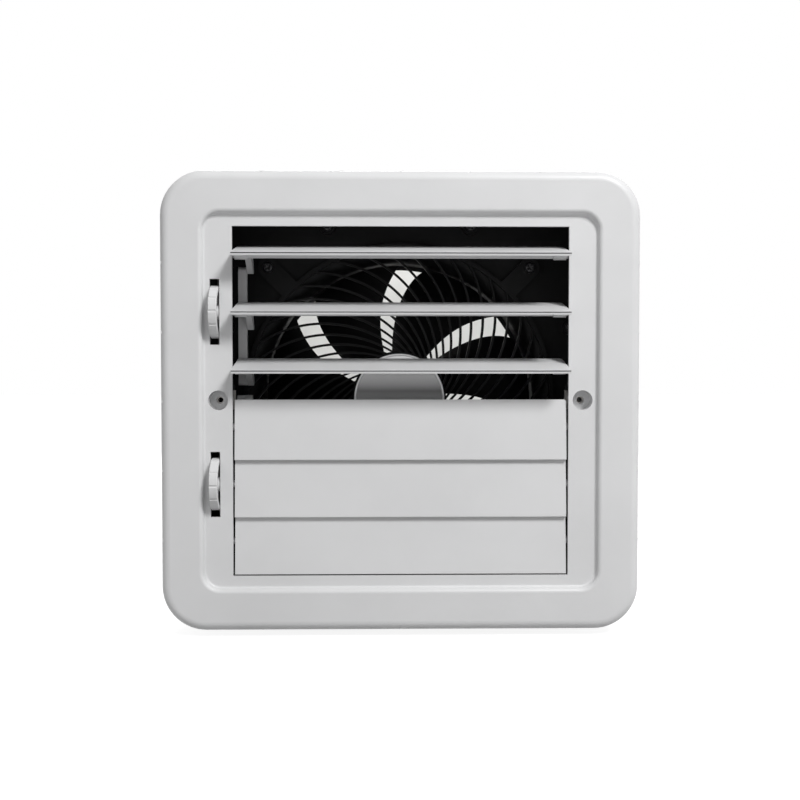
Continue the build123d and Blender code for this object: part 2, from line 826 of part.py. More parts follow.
def make_fan_shroud():
    """Bell-mouth shroud round the impeller, on a flange with four lugs."""
    mouth_r = guard_r - guard_ring + 1.0
    throat_y = shroud_y + mouth_length
    end_y = throat_y + throat_length
    lip_y = end_y - throat_lip_wall
    flare = mouth_r - throat_r
    outer_flare = flare - shroud_wall
    outer_length = mouth_length - shroud_wall
    slant = math.sqrt(0.5)
    with BuildPart() as fan_shroud:
        with BuildSketch(room_plane(shroud_y)):
            lug_outline(guard_r, lug_screw_r + screw_gap)
            Circle(mouth_r, mode=Mode.SUBTRACT)
        extrude(amount=-shroud_flange)
        with BuildSketch(Plane.XY):
            with BuildLine():
                Polyline((throat_r, throat_y), (throat_r, lip_y), (throat_r - throat_lip, lip_y),
                         (throat_r - throat_lip, end_y), (throat_r + shroud_wall, end_y),
                         (throat_r + shroud_wall, throat_y))
                ThreePointArc((throat_r + shroud_wall, throat_y),
                              (mouth_r - outer_flare * slant, throat_y - outer_length * slant),
                              (mouth_r, throat_y - outer_length))
                Line((mouth_r, throat_y - outer_length), (mouth_r, shroud_y))
                ThreePointArc((mouth_r, shroud_y),
                              (mouth_r - flare * slant, throat_y - mouth_length * slant),
                              (throat_r, throat_y))
            make_face()
        revolve(axis=Axis.Y)
    save(fan_shroud, "fan_shroud")


def make_fan_guard():
    """Guard of swept ribs between the motor plate and the outer ring."""
    stops = [(hub_plate_r - 0.5, 0.0), (guard_mid_r, guard_mid_turn),
             (guard_r - guard_ring / 2, guard_turn)]
    with BuildSketch() as one_rib:
        with BuildLine():
            sides = []
            for side in (-1, 1):
                points = []
                for radius, turn in stops:
                    half = math.degrees(guard_rib / 2 / math.cos(math.radians(47)) / radius)
                    points.append(polar(radius, turn + side * half))
                sides.append(ThreePointArc(*points))
            Line(sides[0] @ 0, sides[1] @ 0)
            Line(sides[0] @ 1, sides[1] @ 1)
        make_face()
    with BuildPart() as fan_guard:
        with BuildSketch(room_plane(guard_y)):
            lug_outline(guard_r, lug_screw_r + screw_gap)
            Circle(guard_r - guard_ring, mode=Mode.SUBTRACT)
            with PolarLocations(0, guard_ribs):
                add(one_rib.sketch)
            Circle(hub_plate_r)
        extrude(amount=-guard_wall)
        with BuildSketch(room_plane(hub_back_y)):
            Circle(hub_plate_r - 2.0)
        extrude(amount=-(guard_wall - hub_plate), mode=Mode.SUBTRACT)
        with BuildSketch(room_plane(guard_y)):
            with PolarLocations(motor_screw_pcd / 2, 3, start_angle=90):
                Circle(motor_screw_r + screw_gap)
        extrude(amount=-guard_wall, mode=Mode.SUBTRACT)
    save(fan_guard, "fan_guard")


def make_hub_badge():
    """A plain domed metal disc over the middle of the guard."""
    rim_y = guard_y - badge_lip - motor_screw_head - face_gap
    inner_r = badge_r - badge_lip
    face_y = rim_y + 1.0
    crown_r = (inner_r**2 + badge_crown**2) / (2 * badge_crown)
    centre_y = face_y - badge_crown + crown_r
    back_r = crown_r - badge_wall
    front_turn = math.degrees(math.asin(inner_r / crown_r))
    back_turn = math.degrees(math.asin(inner_r / back_r))
    with BuildPart() as hub_badge:
        with BuildSketch(Plane.XY):
            with BuildLine():
                front = CenterArc((0, centre_y), crown_r, -90, front_turn)
                back = CenterArc((0, centre_y), back_r, -90, back_turn)
                Polyline(front @ 1, (inner_r + 0.4, rim_y), (badge_r - 0.4, rim_y),
                         (badge_r, rim_y + 0.4), (badge_r, guard_y), (inner_r, guard_y), back @ 1)
                Line(front @ 0, back @ 0)
            make_face()
        revolve(axis=Axis.Y)
    save(hub_badge, "hub_badge")


def make_motor():
    """The motor: caps and can, magnets, brushes, bearings, armature and shaft."""
    screw_ring = [polar(motor_screw_pcd / 2, 90 + 120 * k) for k in range(3)]
    with BuildPart() as motor_front:
        with BuildSketch(room_plane(hub_back_y)):
            Circle(motor_r)
            with Locations(*screw_ring):
                Circle(motor_screw_r + press_gap, mode=Mode.SUBTRACT)
        extrude(amount=-motor_cap)
    save(motor_front, "motor_front_cap")

    with BuildPart() as motor_can:
        with BuildSketch(room_plane(cap_back_y)):
            Circle(motor_r)
        extrude(amount=-motor_length)
        back_rim = motor_can.faces().sort_by(Axis.Y)[-1].edges()
        fillet(back_rim, 2.5)
        with BuildSketch(room_plane(cap_back_y)):
            Circle(motor_r - can_wall)
        extrude(amount=-(motor_length - can_wall), mode=Mode.SUBTRACT)
        with BuildSketch(room_plane(motor_end_y)):
            Circle(shaft_r + 0.6)
        extrude(amount=can_wall, mode=Mode.SUBTRACT)
        with BuildSketch(room_plane(motor_end_y)):
            with PolarLocations(motor_r * 0.6, 6):
                Circle(2.5)
        extrude(amount=can_wall, mode=Mode.SUBTRACT)
    save(motor_can, "motor_can")

    for label, y in (("bearing_front", front_bearing_y), ("bearing_rear", rear_bearing_y)):
        with BuildPart() as bearing:
            with BuildSketch(room_plane(y)):
                Circle(bearing_r)
                Circle(shaft_r + running_gap, mode=Mode.SUBTRACT)
            extrude(amount=-bearing_width)
            chamfer(bearing.edges().filter_by(lambda e: e.radius > bearing_r - 0.1
                                              if e.geom_type == GeomType.CIRCLE else False), 0.5)
        save(bearing, label)

    with BuildPart() as motor_shaft:
        with BuildSketch(room_plane(front_bearing_y + 0.4)):
            Circle(shaft_r)
        extrude(amount=-(nut_y + nut_height + shaft_tail - front_bearing_y - 0.4))
        chamfer(motor_shaft.faces().sort_by(Axis.Y)[-1].edges(), 0.5)
    save(motor_shaft, "motor_shaft")

    with BuildPart() as armature:
        with BuildSketch(room_plane(stack_y)):
            Circle(stack_r)
            Circle(shaft_r + press_gap, mode=Mode.SUBTRACT)
            with PolarLocations(stack_r - stack_slot_depth / 2 + 0.5, stack_slots):
                Rectangle(stack_slot_depth + 1, stack_slot_w, mode=Mode.SUBTRACT)
        extrude(amount=-stack_length)
    save(armature, "armature_core")

    with BuildPart() as windings:
        for y, way in ((stack_y, 1), (stack_y + stack_length, -1)):
            with BuildSketch(room_plane(y)):
                Circle(winding_r)
                Circle(shaft_r + 1.5, mode=Mode.SUBTRACT)
            extrude(amount=way * winding_bulge)
        outer = windings.edges().filter_by(lambda e: e.geom_type == GeomType.CIRCLE
                                           and e.radius > winding_r - 0.1)
        ends = [outer.sort_by(Axis.Y)[0], outer.sort_by(Axis.Y)[-1]]
        fillet(ends, winding_bulge * 0.7)
        with BuildSketch(room_plane(stack_y)):
            with PolarLocations(stack_r - stack_slot_depth + stack_slot_w, stack_slots):
                Rectangle(stack_slot_w, stack_slot_w - 0.4)
        extrude(amount=-stack_length)
    save(windings, "armature_windings")

    with BuildPart() as commutator:
        with BuildSketch(room_plane(commutator_y)):
            Circle(commutator_r)
            Circle(shaft_r + press_gap, mode=Mode.SUBTRACT)
            with PolarLocations(commutator_r, stack_slots):
                Rectangle(1.2, 0.5, mode=Mode.SUBTRACT)
        extrude(amount=-commutator_length)
    save(commutator, "commutator")

    with BuildPart() as magnets:
        magnet_out = motor_r - can_wall
        magnet_in = magnet_out - magnet_wall
        with BuildSketch(room_plane(magnet_y)):
            Circle(magnet_out)
            Circle(magnet_in, mode=Mode.SUBTRACT)
            for side in (-1, 1):
                with BuildLine():
                    edge = (180 - magnet_arc) / 2
                    far = 2 * motor_r
                    Polyline((0, 0), (side * far, -far * math.tan(math.radians(edge))),
                             (side * far, far * math.tan(math.radians(edge))), close=True)
                make_face(mode=Mode.SUBTRACT)
        extrude(amount=-magnet_length)
    save(magnets, "magnets")

    with BuildPart() as brushes:
        brush_y = commutator_y + (commutator_length - brush_h) / 2
        brush_in = commutator_r + 0.1
        brush_out = stack_r
        with BuildSketch(room_plane(brush_y)):
            for side in (-1, 1):
                with Locations((side * (brush_in + brush_out) / 2, 0)):
                    Rectangle(brush_out - brush_in, brush_w)
        extrude(amount=-brush_h)
    save(brushes, "brushes")

    with BuildPart() as brush_holder:
        with BuildSketch(room_plane(cap_back_y)):
            Circle(motor_r - can_wall - 0.2)
            Circle(bearing_r + press_gap, mode=Mode.SUBTRACT)
        extrude(amount=-2.0)
        with BuildSketch(room_plane(cap_back_y + 2.0)):
            for side in (-1, 1):
                with Locations((side * (stack_r + bearing_r + 3) / 2, 0)):
                    Rectangle(stack_r - bearing_r - 3, brush_w + 3)
        extrude(amount=-(commutator_y + commutator_length - cap_back_y - 2.0))
        with BuildSketch(room_plane(brush_y)):
            Rectangle(2 * stack_r, brush_w + 0.04)
        extrude(amount=-brush_h - 0.02, mode=Mode.SUBTRACT)
    save(brush_holder, "brush_holder")

    make_screws("motor_screws", screw_ring, guard_y, motor_screw_head_r, motor_screw_head,
                motor_screw_r, hub_plate + motor_cap)


def sweep_at(radius):
    """Clockwise lean of the blade's middle line at a radius, in degrees."""
    step = radius - sweep_inner_r
    base = blade_phase_r - sweep_inner_r
    lean = sweep_linear * step + sweep_square * step * abs(step)
    return lean - sweep_linear * base - sweep_square * base * base


def blade_edge_x(height, side):
    """Where one edge of an upright blade crosses the plane at a height."""
    half = (360 / blade_count - blade_gap_angle) / 2
    radius = height
    for _ in range(10):
        turn = math.radians(sweep_at(radius) + side * half)
        radius = height / math.cos(turn)
    return radius * math.sin(turn)


def make_impeller():
    """Seven swept and twisted blades round a deep hub cup."""
    heights = [cup_r - 8, 50.0, 72.0, 94.0, throat_r + 3]
    with BuildPart() as blade:
        for height in heights:
            lead = blade_edge_x(height, 1)
            trail = blade_edge_x(height, -1)
            middle = (lead + trail) / 2
            camber_y = blade_y + blade_depth / 2 - blade_camber
            with BuildSketch(Plane.XY.offset(height)):
                with BuildLine():
                    front = ThreePointArc((trail, blade_y + blade_depth - blade_edge),
                                          (middle, camber_y - blade_thickness / 2),
                                          (lead, blade_y))
                    back = ThreePointArc((trail, blade_y + blade_depth),
                                         (middle, camber_y + blade_thickness / 2),
                                         (lead, blade_y + blade_edge))
                    Line(front @ 0, back @ 0)
                    Line(front @ 1, back @ 1)
                make_face()
        loft()
        with BuildSketch(room_plane(blade_y - 10)):
            Circle(blade_tip_r)
            Circle(cup_r - cup_wall / 2, mode=Mode.SUBTRACT)
        extrude(amount=-blade_depth - 20, mode=Mode.INTERSECT)
    with BuildPart() as impeller:
        with BuildSketch(room_plane(cup_front_y)):
            Circle(cup_r)
        extrude(amount=-(cup_back_y - cup_front_y))
        fillet(impeller.faces().sort_by(Axis.Y)[-1].edges(), 3.0)
        with BuildSketch(room_plane(cup_front_y)):
            Circle(cup_r - cup_wall)
        extrude(amount=-(cup_back_y - cup_web - cup_front_y), mode=Mode.SUBTRACT)
        with BuildSketch(room_plane(cup_back_y)):
            Circle(cup_boss_r)
        extrude(amount=-cup_boss)
        for k in range(blade_count):
            add(blade.part.rotate(Axis.Y, blade_phase + k * 360 / blade_count))
        with BuildSketch(room_plane(cup_back_y - cup_web - 1)):
            Circle(shaft_r + press_gap)
        extrude(amount=-(cup_boss + cup_web + 2), mode=Mode.SUBTRACT)
    save(impeller, "impeller")

    with BuildPart() as impeller_nut:
        with BuildSketch(room_plane(nut_y)):
            RegularPolygon(nut_across / 2, 6, major_radius=False)
            Circle(shaft_r + press_gap, mode=Mode.SUBTRACT)
        extrude(amount=-nut_height)
    save(impeller_nut, "impeller_nut")


def cowl_form(inset):
    """The outer or inner form of the cowl, as a solid set in by a wall."""
    size = cowl_size - 2 * inset
    height = cowl_top_y - inset - cowl_skirt_y
    with BuildPart() as form:
        with BuildSketch(room_plane(cowl_skirt_y)):
            RectangleRounded(size, size, cowl_corner_r - inset)
        extrude(amount=-height, taper=cowl_taper)
        top = form.faces().sort_by(Axis.Y)[-1].edges()
        fillet(top, cowl_shoulder_r - inset)
    return form.part


def make_rain_cowl():
    """Low fixed cowl over the upstand, open all round under its skirt."""
    outer = cowl_form(0)
    inner = cowl_form(cowl_wall)
    posts = four_corners(cowl_post_xz, cowl_post_xz)
    with BuildPart() as rain_cowl:
        add(outer)
        add(inner, mode=Mode.SUBTRACT)
        with BuildSketch(room_plane(well_floor_y)):
            with Locations(*posts):
                Circle(cowl_well_r + cowl_wall)
        extrude(amount=-(cowl_top_y - well_floor_y))
        add(outer, mode=Mode.INTERSECT)
        with BuildSketch(room_plane(well_floor_y + cowl_well_floor)):
            with Locations(*posts):
                Circle(cowl_well_r)
        extrude(amount=-(cowl_top_y - well_floor_y), mode=Mode.SUBTRACT)
        with BuildSketch(room_plane(well_floor_y)):
            with Locations(*posts):
                Circle(cowl_screw_r + screw_gap)
        extrude(amount=-cowl_well_floor, mode=Mode.SUBTRACT)
        rib_length = cowl_size * 0.62
        with BuildSketch(room_plane(cowl_top_y - cowl_wall / 2)):
            for k in range(cowl_rib_count):
                along = (k - (cowl_rib_count - 1) / 2) * rib_length / cowl_rib_count
                with Locations((along, 0)):
                    SlotOverall(rib_length, cowl_rib_w, rotation=90)
        extrude(amount=-(cowl_wall / 2 + cowl_rib_rise))
    save(rain_cowl, "rain_cowl")
    make_screws("cowl_screws", posts, well_floor_y + cowl_well_floor, cowl_screw_head_r,
                cowl_screw_head, cowl_screw_r, cowl_well_floor + cowl_screw_grip, inward=-1)


make_face_panel()
for number in range(1, louvre_count + 1):
    make_louvre(number)
make_tie_bar(0, "tie_bar_upper")
make_tie_bar(1, "tie_bar_lower")
make_thumbwheel(middle_louvres[0], "thumbwheel_upper")
make_thumbwheel(middle_louvres[1], "thumbwheel_lower")
make_rail(0, -1, "louvre_rail_upper_left")
make_rail(0, 1, "louvre_rail_upper_right")
make_rail(1, -1, "louvre_rail_lower_left")
make_rail(1, 1, "louvre_rail_lower_right")
make_screws("rail_screws", post_places, panel_back_y + post_height + tab_wall, tapper_head_r,
            tapper_head, tapper_r, tab_wall + post_height, inward=-1)
make_sleeve()
make_sleeve_fittings()
make_roof_flange()
make_fan_plate()
make_screws("plate_screws", plate_screw_places(), plate_y - plate_boss, plate_screw_head_r,
            plate_screw_head, plate_screw_r, plate_boss + plate_wall + ledge_wall)
make_fan_shroud()
make_fan_guard()
make_screws("fan_screws", four_corners(lug_span, lug_span), guard_y, lug_screw_head_r,
            lug_screw_head, lug_screw_r, guard_wall + shroud_flange + plate_wall)
make_hub_badge()
make_motor()
make_impeller()
make_rain_cowl()
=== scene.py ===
import json
import math

import bpy
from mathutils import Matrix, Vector


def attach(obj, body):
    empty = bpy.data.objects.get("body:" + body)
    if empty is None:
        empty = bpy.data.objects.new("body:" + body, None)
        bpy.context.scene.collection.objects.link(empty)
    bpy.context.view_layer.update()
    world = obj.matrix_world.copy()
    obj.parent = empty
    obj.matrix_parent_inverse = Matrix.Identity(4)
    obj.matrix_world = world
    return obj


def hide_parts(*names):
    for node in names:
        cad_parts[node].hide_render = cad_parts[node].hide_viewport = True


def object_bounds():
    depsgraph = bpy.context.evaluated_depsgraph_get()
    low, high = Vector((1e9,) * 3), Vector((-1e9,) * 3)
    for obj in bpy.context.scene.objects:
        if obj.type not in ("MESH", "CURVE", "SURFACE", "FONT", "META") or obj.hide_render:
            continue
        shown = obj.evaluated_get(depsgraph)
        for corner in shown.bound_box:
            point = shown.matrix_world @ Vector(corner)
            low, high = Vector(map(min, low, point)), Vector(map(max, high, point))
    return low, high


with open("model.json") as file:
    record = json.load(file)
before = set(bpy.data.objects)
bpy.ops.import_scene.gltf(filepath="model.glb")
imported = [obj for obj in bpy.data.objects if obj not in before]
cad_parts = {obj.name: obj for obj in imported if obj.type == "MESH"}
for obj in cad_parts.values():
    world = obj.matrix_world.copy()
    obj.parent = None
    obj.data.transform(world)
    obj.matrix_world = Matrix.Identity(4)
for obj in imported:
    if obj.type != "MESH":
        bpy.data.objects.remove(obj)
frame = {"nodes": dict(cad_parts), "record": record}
cad_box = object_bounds()
record = frame["record"]


# Material helpers

def start(name):
    """A new node material: its node tree, its principled shader and its coordinates."""
    mat = bpy.data.materials.new(name)
    mat.use_nodes = True
    tree = mat.node_tree
    shader = tree.nodes["Principled BSDF"]
    coords = tree.nodes.new("ShaderNodeTexCoord")
    return mat, tree, shader, coords


def noise(tree, coords, scale, detail=4.0, rough=0.55):
    node = tree.nodes.new("ShaderNodeTexNoise")
    node.inputs["Scale"].default_value = scale
    node.inputs["Detail"].default_value = detail
    node.inputs["Roughness"].default_value = rough
    tree.links.new(coords.outputs["Object"], node.inputs["Vector"])
    return node


def remap(tree, source, low, high, from_low=0.3, from_high=0.7):
    node = tree.nodes.new("ShaderNodeMapRange")
    node.inputs["From Min"].default_value = from_low
    node.inputs["From Max"].default_value = from_high
    node.inputs["To Min"].default_value = low
    node.inputs["To Max"].default_value = high
    tree.links.new(source, node.inputs["Value"])
    return node.outputs["Result"]


def tint(tree, factor, dark, light):
    node = tree.nodes.new("ShaderNodeMix")
    node.data_type = "RGBA"
    node.inputs[6].default_value = (*dark, 1)
    node.inputs[7].default_value = (*light, 1)
    tree.links.new(factor, node.inputs[0])
    return node.outputs[2]


def bump(tree, shader, height, distance, strength=1.0, edge=0.0):
    node = tree.nodes.new("ShaderNodeBump")
    node.inputs["Strength"].default_value = strength
    node.inputs["Distance"].default_value = distance
    tree.links.new(height, node.inputs["Height"])
    if edge:
        soft = tree.nodes.new("ShaderNodeBevel")
        soft.samples = 6
        soft.inputs["Radius"].default_value = edge
        tree.links.new(soft.outputs["Normal"], node.inputs["Normal"])
    tree.links.new(node.outputs["Normal"], shader.inputs["Normal"])


def moulded(name, color, rough=0.42, grain=1400.0, depth=0.00004, edge=0.0005, vary=0.03,
            specular=0.5):
    """Moulded plastic: fine spark grain, a faint cloudiness and softened edges."""
    mat, tree, shader, coords = start(name)
    cloud = noise(tree, coords, 14.0, 5.0)
    fine = noise(tree, coords, grain, 3.0, 0.7)
    flow = noise(tree, coords, 90.0, 2.0)
    dark = tuple(c * (1 - vary) for c in color)
    light = tuple(min(1.0, c * (1 + vary)) for c in color)
    mixed = tint(tree, remap(tree, cloud.outputs["Fac"], 0, 1), dark, light)
    tree.links.new(mixed, shader.inputs["Base Color"])
    tree.links.new(remap(tree, flow.outputs["Fac"], rough - 0.05, rough + 0.06),
                   shader.inputs["Roughness"])
    shader.inputs["Specular IOR Level"].default_value = specular
    bump(tree, shader, fine.outputs["Fac"], depth, 0.35, edge)
    return mat


def metal(name, color, rough, streak=(1, 1, 1), scale=900.0, depth=0.00002, edge=0.0002,
          vary=0.10):
    """Metal with fine streaks, drawn out along an axis by the streak factors."""
    mat, tree, shader, coords = start(name)
    stretch = tree.nodes.new("ShaderNodeMapping")
    stretch.inputs["Scale"].default_value = streak
    tree.links.new(coords.outputs["Object"], stretch.inputs["Vector"])
    lines = tree.nodes.new("ShaderNodeTexNoise")
    lines.inputs["Scale"].default_value = scale
    lines.inputs["Detail"].default_value = 3.0
    tree.links.new(stretch.outputs["Vector"], lines.inputs["Vector"])
    dark = tuple(c * (1 - vary) for c in color)
    light = tuple(min(1.0, c * (1 + vary)) for c in color)
    tree.links.new(tint(tree, remap(tree, lines.outputs["Fac"], 0, 1), dark, light),
                   shader.inputs["Base Color"])
    shader.inputs["Metallic"].default_value = 1.0
    tree.links.new(remap(tree, lines.outputs["Fac"], rough - 0.06, rough + 0.08),
                   shader.inputs["Roughness"])
    bump(tree, shader, lines.outputs["Fac"], depth, 0.4, edge)
    return mat


def ramp(tree, source, stops):
    node = tree.nodes.new("ShaderNodeValToRGB")
    marks = node.color_ramp.elements
    while len(marks) < len(stops):
        marks.new(0.5)
    for mark, (place, grey) in zip(marks, stops):
        mark.position = place
        mark.color = (grey, grey, grey * 1.01, 1)
    tree.links.new(source, node.inputs["Fac"])
    return node.outputs["Color"]


def turned_disc(name, reach, lip, stops, rough):
    """Spun aluminium: turning marks, a painted reflection that runs light, dark and light again
    from top to bottom, and a painted highlight on a bright ring at the rim.
    """
    mat, tree, shader, coords = start(name)
    split = tree.nodes.new("ShaderNodeSeparateXYZ")
    tree.links.new(coords.outputs["Object"], split.inputs["Vector"])
    flat = tree.nodes.new("ShaderNodeCombineXYZ")
    tree.links.new(split.outputs["X"], flat.inputs["X"])
    tree.links.new(split.outputs["Z"], flat.inputs["Y"])
    radius = tree.nodes.new("ShaderNodeVectorMath")
    radius.operation = "LENGTH"
    tree.links.new(flat.outputs["Vector"], radius.inputs[0])
    rings = tree.nodes.new("ShaderNodeTexNoise")
    rings.noise_dimensions = "1D"
    rings.inputs["Scale"].default_value = 3500.0
    rings.inputs["Detail"].default_value = 2.0
    tree.links.new(radius.outputs["Value"], rings.inputs["W"])
    # Painted reflection: the base grey follows height, light at the top, darkest below the
    # middle, light again at the bottom.
    painted_reflection_sweep = ramp(tree, remap(tree, split.outputs["Z"], 0, 1, -reach, reach), stops)
    # Painted highlight: a bright grey ring from just past the lip radius out to the rim.
    painted_highlight_bead = tree.nodes.new("ShaderNodeMix")
    painted_highlight_bead.data_type = "RGBA"
    painted_highlight_bead.inputs[7].default_value = (0.80, 0.80, 0.81, 1)
    tree.links.new(remap(tree, radius.outputs["Value"], 0, 1, lip - 0.0003, lip + 0.0001),
                   painted_highlight_bead.inputs[0])
    tree.links.new(painted_reflection_sweep, painted_highlight_bead.inputs[6])
    marked = tree.nodes.new("ShaderNodeMix")
    marked.data_type = "RGBA"
    marked.blend_type = "MULTIPLY"
    marked.inputs[0].default_value = 1.0
    tree.links.new(painted_highlight_bead.outputs[2], marked.inputs[6])
    tree.links.new(tint(tree, remap(tree, rings.outputs["Fac"], 0, 1),
                        (0.88, 0.88, 0.88), (1, 1, 1)), marked.inputs[7])
    tree.links.new(marked.outputs[2], shader.inputs["Base Color"])
    shader.inputs["Metallic"].default_value = 0.85
    tree.links.new(remap(tree, rings.outputs["Fac"], rough - 0.05, rough + 0.1),
                   shader.inputs["Roughness"])
    shader.inputs["Anisotropic"].default_value = 0.4
    bump(tree, shader, rings.outputs["Fac"], 0.00001, 0.5, 0.0003)
    return mat


def foam(name, color, cell=1800.0):
    """Closed-cell foam with a pitted skin."""
    mat, tree, shader, coords = start(name)
    cells = tree.nodes.new("ShaderNodeTexVoronoi")
    cells.inputs["Scale"].default_value = cell
    tree.links.new(coords.outputs["Object"], cells.inputs["Vector"])
    cloud = noise(tree, coords, 60.0, 3.0)
    tree.links.new(tint(tree, remap(tree, cloud.outputs["Fac"], 0, 1),
                        tuple(c * 0.8 for c in color), tuple(c * 1.2 for c in color)),
                   shader.inputs["Base Color"])
    tree.links.new(remap(tree, cells.outputs["Distance"], 0.75, 0.95, 0.0, 0.6),
                   shader.inputs["Roughness"])
    bump(tree, shader, cells.outputs["Distance"], 0.0002, 0.6)
    return mat


def banded(name, color, pitch, axis, metallic, rough, depth=0.0001):
    """Stacked sheets or wound wire: fine bands along one axis."""
    mat, tree, shader, coords = start(name)
    bands = tree.nodes.new("ShaderNodeTexWave")
    bands.wave_type = "BANDS"
    bands.bands_direction = axis
    bands.inputs["Scale"].default_value = 0.314 / pitch
    bands.inputs["Distortion"].default_value = 0.6
    bands.inputs["Detail"].default_value = 2.0
    tree.links.new(coords.outputs["Object"], bands.inputs["Vector"])
    tree.links.new(tint(tree, bands.outputs["Fac"], tuple(c * 0.55 for c in color), color),
                   shader.inputs["Base Color"])
    shader.inputs["Metallic"].default_value = metallic
    tree.links.new(remap(tree, bands.outputs["Fac"], rough + 0.1, rough - 0.05, 0, 1),
                   shader.inputs["Roughness"])
    bump(tree, shader, bands.outputs["Fac"], depth, 0.8)
    return mat


def opal(name, color):
    """Opal plastic that lets daylight through."""
    mat, tree, shader, coords = start(name)
    cloud = noise(tree, coords, 9.0, 4.0)
    fine = noise(tree, coords, 1100.0, 2.0)
    mixed = tint(tree, remap(tree, cloud.outputs["Fac"], 0, 1),
                 tuple(c * 0.97 for c in color), color)
    tree.links.new(mixed, shader.inputs["Base Color"])
    tree.links.new(remap(tree, fine.outputs["Fac"], 0.26, 0.36), shader.inputs["Roughness"])
    bump(tree, shader, fine.outputs["Fac"], 0.00003, 0.3, 0.0006)
    through = tree.nodes.new("ShaderNodeBsdfTranslucent")
    tree.links.new(mixed, through.inputs["Color"])
    both = tree.nodes.new("ShaderNodeMixShader")
    both.inputs["Fac"].default_value = 0.62
    tree.links.new(shader.outputs["BSDF"], both.inputs[1])
    tree.links.new(through.outputs["BSDF"], both.inputs[2])
    out = tree.nodes["Material Output"]
    tree.links.new(both.outputs["Shader"], out.inputs["Surface"])
    return mat


materials = {
    "panel_plastic": moulded("panel_plastic", (0.628, 0.629, 0.634), 0.42, edge=0.0003),
    "louvre_plastic": moulded("louvre_plastic", (0.622, 0.623, 0.628), 0.44, edge=0.00016),
    "wheel_plastic": moulded("wheel_plastic", (0.616, 0.617, 0.621), 0.42, edge=0.0003),
    "black_plastic": moulded("black_plastic", (0.0075, 0.0075, 0.0080), 0.55, vary=0.1,
                             specular=0.16),
    "guard_plastic": moulded("guard_plastic", (0.0065, 0.0065, 0.0070), 0.50, vary=0.1,
                             specular=0.16),
    "impeller_plastic": moulded("impeller_plastic", (0.0045, 0.0045, 0.0050), 0.50, vary=0.1,
                                specular=0.10),
    "holder_plastic": moulded("holder_plastic", (0.10, 0.07, 0.045), 0.50, vary=0.1),
    "block_plastic": moulded("block_plastic", (0.62, 0.61, 0.57), 0.32),
    "flange_plastic": moulded("flange_plastic", (0.60, 0.60, 0.585), 0.48),
    "cowl_plastic": opal("cowl_plastic", (0.84, 0.84, 0.83)),
    "foam_rubber": foam("foam_rubber", (0.035, 0.035, 0.038)),
    "soft_rubber": moulded("soft_rubber", (0.02, 0.02, 0.02), 0.62, grain=900.0),
    "zinc_steel": metal("zinc_steel", (0.60, 0.61, 0.62), 0.30),
    "spring_steel": metal("spring_steel", (0.28, 0.27, 0.26), 0.36, (1, 12, 1)),
    # The badge's top-to-bottom grey ramp is a painted reflection, and its bright rim ring is a
    # painted highlight.
    "badge_metal": turned_disc("badge_metal", 0.0352, 0.0334,
                               [(0.0, 0.66), (0.36, 0.46), (0.50, 0.30), (0.585, 0.16),
                                (0.67, 0.38), (0.76, 0.60), (0.97, 0.86)], 0.36),
    "motor_steel": moulded("motor_steel", (0.02, 0.02, 0.022), 0.32, grain=500.0, edge=0.0004),
    "shaft_steel": metal("shaft_steel", (0.64, 0.64, 0.65), 0.22, (1, 20, 1)),
    "core_steel": banded("core_steel", (0.30, 0.30, 0.31), 0.0005, "Y", 0.9, 0.45),
    "copper_wire": banded("copper_wire", (0.62, 0.26, 0.10), 0.0007, "X", 0.8, 0.32),
    "copper_bar": metal("copper_bar", (0.72, 0.38, 0.22), 0.28, (1, 20, 1)),
    "carbon": moulded("carbon", (0.03, 0.03, 0.032), 0.60, vary=0.15),
    "magnet_ferrite": moulded("magnet_ferrite", (0.07, 0.07, 0.075), 0.58, vary=0.15),
}

for entry in record["subparts"]:
    piece = frame["nodes"][entry["node"]]
    finish = materials[entry["material_slot"]]
    if not piece.material_slots:
        piece.data.materials.append(finish)
    for place in piece.material_slots:
        place.material = finish


def add_piece(name, body, slot, points, faces):
    """A mesh made here, riding one body in the finish of one slot."""
    mesh = bpy.data.meshes.new(name)
    mesh.from_pydata(points, [], faces)
    mesh.update()
    mesh.materials.append(materials[slot])
    obj = bpy.data.objects.new(name, mesh)
    bpy.context.collection.objects.link(obj)
    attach(obj, body)
    return obj


# Screws with real cross recesses, in place of the plain ones

def head_height(radius, turn, head_r, head_h):
    """Height of a pan head over its seat at one point, with a cross recess cut in."""
    crown_fall, edge_fall = 0.32, 0.45
    edge_start, edge_width, edge_power = 0.72, 0.28, 2.2
    recess_depth, recess_rise = 0.55, 0.25
    share = min(1.0, radius / head_r)
    rim = max(0.0, (share - edge_start) / edge_width)**edge_power
    dome = head_h * (1 - crown_fall * share**2 - edge_fall * rim)
    across = abs(math.sin(2 * turn)) * radius
    arm = 0.17 * head_r
    reach = 0.62 * head_r
    if radius < reach and across < 2 * arm:
        fade = min(1.0, (2 * arm - across) / (0.5 * arm), (reach - radius) / (0.1 * head_r))
        dome -= fade * head_h * (recess_depth - recess_rise * radius / reach)
    return dome


